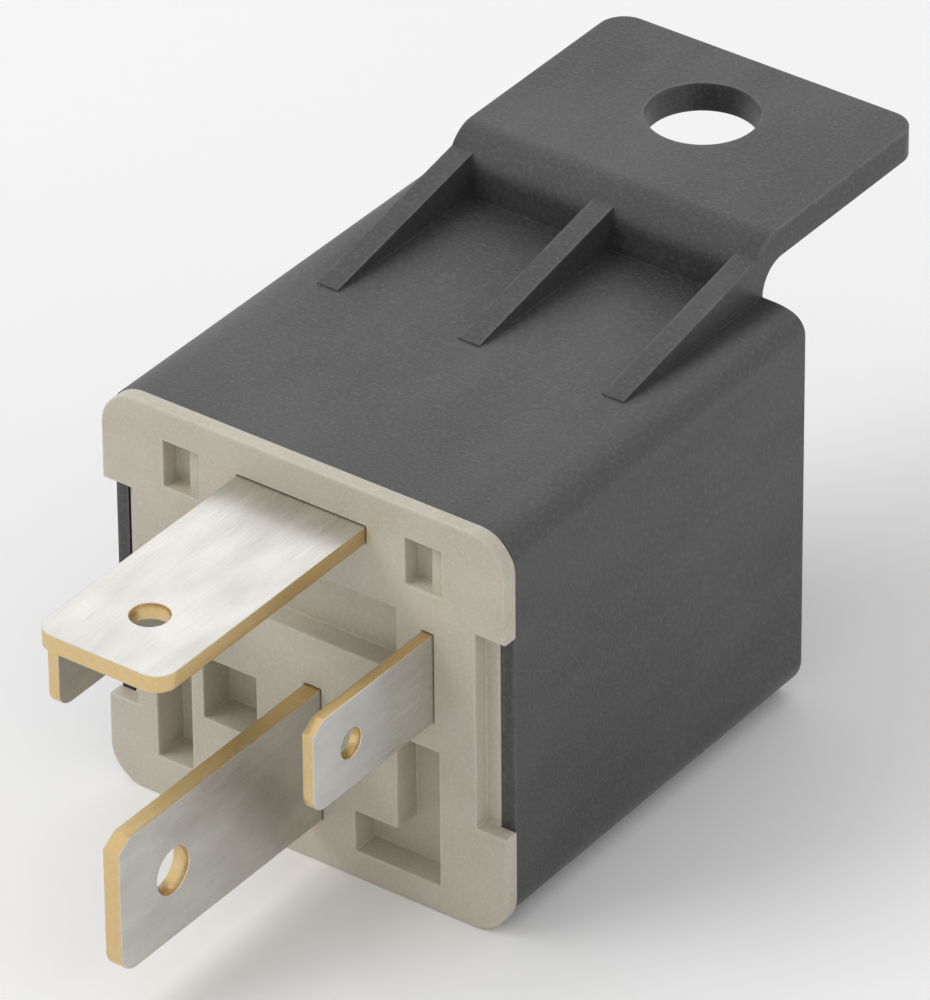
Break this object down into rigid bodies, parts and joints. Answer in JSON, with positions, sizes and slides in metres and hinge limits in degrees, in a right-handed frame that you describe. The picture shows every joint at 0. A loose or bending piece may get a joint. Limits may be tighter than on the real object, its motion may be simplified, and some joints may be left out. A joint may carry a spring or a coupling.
{
  "type": "automotive relay",
  "caption": "Plug-in automotive relay: box cover with a ribbed mounting tab, wide and narrow blade terminals, and a working make contact inside.",
  "frame": {"origin": "centre of the terminal face, in the plane where the blades leave the base", "axes": "-Y along the blades, out of the terminal face; +Y towards the closed end of the cover; +Z towards the side that carries the mounting tab; +X to the right of someone who looks at the terminals with the tab up"},
  "size_m": [0.0298, 0.068, 0.032],
  "materials": {
    "cover_plastic": "satin moulded",
    "base_plastic": "fine moulded texture",
    "tinned_brass": "tin plated, brushed",
    "plated_iron": "zinc plated",
    "bobbin_plastic": "natural moulded",
    "winding_copper": "enamelled",
    "winding_tape": "film",
    "spring_bronze": "rolled",
    "contact_silver": "polished silver alloy",
    "braid_copper": "woven",
    "resistor_coat": "lacquered",
    "tinned_wire": "tin plated",
    "rivet_steel": "bright"
  },
  "bodies": {
    "frame": {"cover": "cover_plastic", "base": "base_plastic", "terminal_87": "tinned_brass", "terminal_30": "tinned_brass", "terminal_85": "tinned_brass", "terminal_86": "tinned_brass", "yoke": "plated_iron", "core": "plated_iron", "bobbin": "bobbin_plastic", "coil_winding": "winding_copper", "coil_tape": "winding_tape", "coil_lead_85": "winding_copper", "coil_lead_86": "winding_copper", "fixed_contact": "contact_silver", "shunt_braid": "braid_copper", "suppression_resistor": "resistor_coat", "resistor_leads": "tinned_wire", "yoke_rivets": "rivet_steel", "foot_rivets": "rivet_steel"},
    "armature": {"armature": "plated_iron", "contact_spring": "spring_bronze", "moving_contact": "contact_silver", "armature_rivets": "rivet_steel"}
  },
  "joints": [
    {"name": "armature_hinge", "type": "hinge", "parent": "frame", "child": "armature", "pos_m": [0, 0.0256, -0.0107], "axis": [1, 0, 0], "range_deg": [0, 3.4], "stiffness_Nm_per_rad": 0.03, "springref_deg": -4.58, "deforming": ["contact_spring", "shunt_braid"]}
  ]
}
